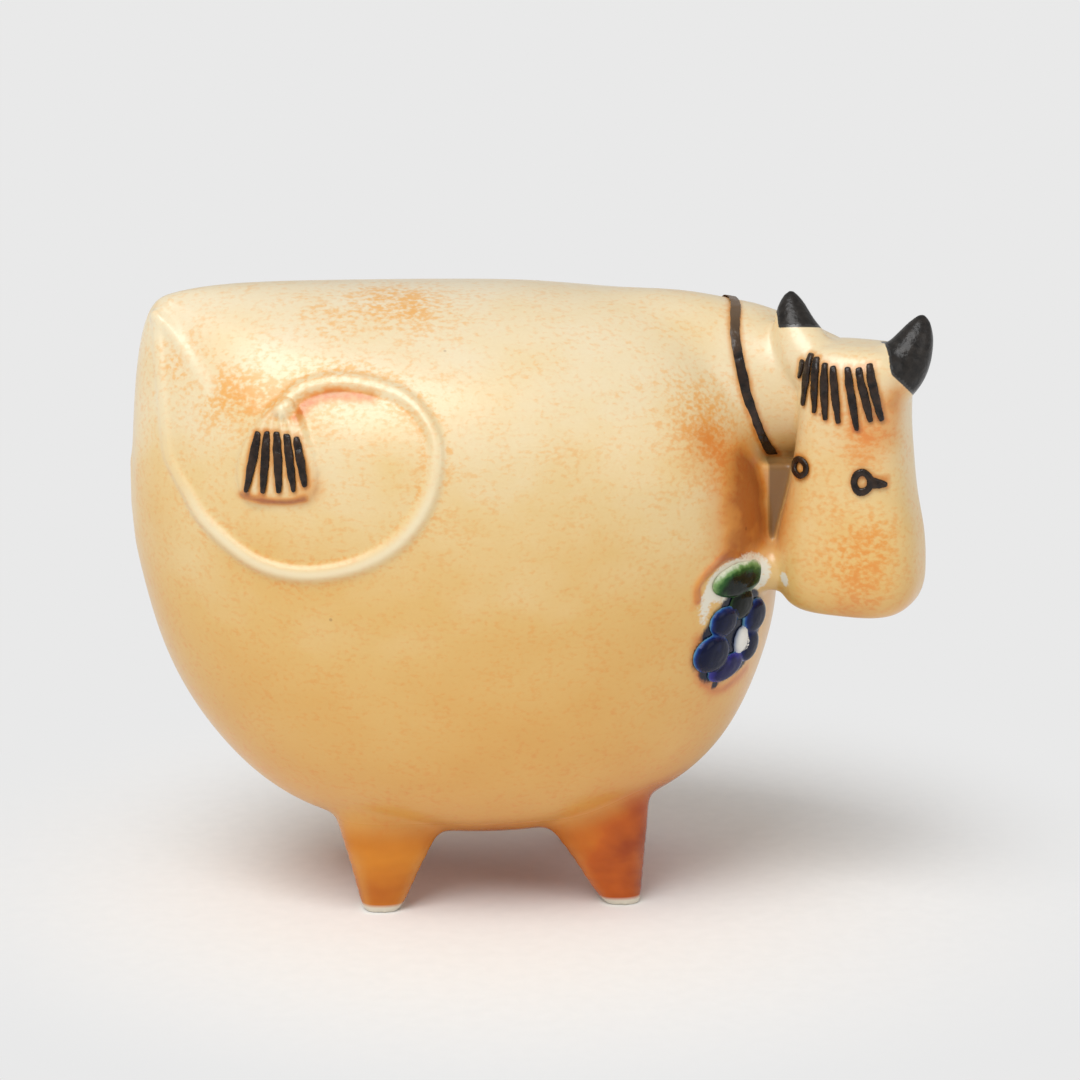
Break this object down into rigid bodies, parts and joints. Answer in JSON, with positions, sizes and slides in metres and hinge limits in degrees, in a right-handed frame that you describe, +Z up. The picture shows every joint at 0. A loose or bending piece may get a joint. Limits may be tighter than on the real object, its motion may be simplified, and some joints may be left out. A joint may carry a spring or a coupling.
{
  "type": "cow figurine",
  "caption": "Standing cow ornament in glazed stoneware: round hollow body on short tapered legs, head turned to one side, coiled tail in relief.",
  "frame": {"origin": "on the ground under the middle of the bounding box, between the feet", "axes": "+X from the rump towards the head end, +Y to the side without the tail, +Z up"},
  "size_m": [0.1497, 0.0808, 0.1184],
  "materials": {
    "ochre_glaze": "satin straw-coloured glaze over stoneware, mottled with orange",
    "throat_glaze": "thin brown glaze in a recess",
    "brown_glaze": "glossy orange-brown glaze, bare clay under the feet",
    "dark_horn_glaze": "semi-matt near-black glaze",
    "dark_slip": "trailed near-black slip under the glaze",
    "blue_glaze": "glossy thick blue glaze",
    "violet_glaze": "glossy violet-blue glaze",
    "white_glaze": "glossy white glaze",
    "dark_green_glaze": "glossy near-black green glaze",
    "green_glaze": "glossy green glaze pooled thick and dark in the middle"
  },
  "bodies": {
    "root": {"body_shell": "ochre_glaze", "chin_pad": "ochre_glaze", "collar_line": "dark_slip", "eye_far": "dark_slip", "eye_near": "dark_slip", "flower_centre": "white_glaze", "flower_leaf": "green_glaze", "flower_petal_1": "blue_glaze", "flower_petal_2": "blue_glaze", "flower_petal_3": "blue_glaze", "flower_petal_4": "blue_glaze", "flower_petal_5": "violet_glaze", "flower_stem": "dark_green_glaze", "fringe_stroke_1": "dark_slip", "fringe_stroke_2": "dark_slip", "fringe_stroke_3": "dark_slip", "fringe_stroke_4": "dark_slip", "fringe_stroke_5": "dark_slip", "fringe_stroke_6": "dark_slip", "fringe_stroke_7": "dark_slip", "fringe_stroke_8": "dark_slip", "head": "ochre_glaze", "horn_far": "dark_horn_glaze", "horn_near": "dark_horn_glaze", "leg_front_far": "brown_glaze", "leg_front_near": "brown_glaze", "leg_rear_far": "brown_glaze", "leg_rear_near": "brown_glaze", "tail": "ochre_glaze", "tail_tuft": "ochre_glaze", "throat_web": "throat_glaze", "tuft_stroke_1": "dark_slip", "tuft_stroke_2": "dark_slip", "tuft_stroke_3": "dark_slip", "tuft_stroke_4": "dark_slip", "tuft_stroke_5": "dark_slip"}
  },
  "joints": []
}
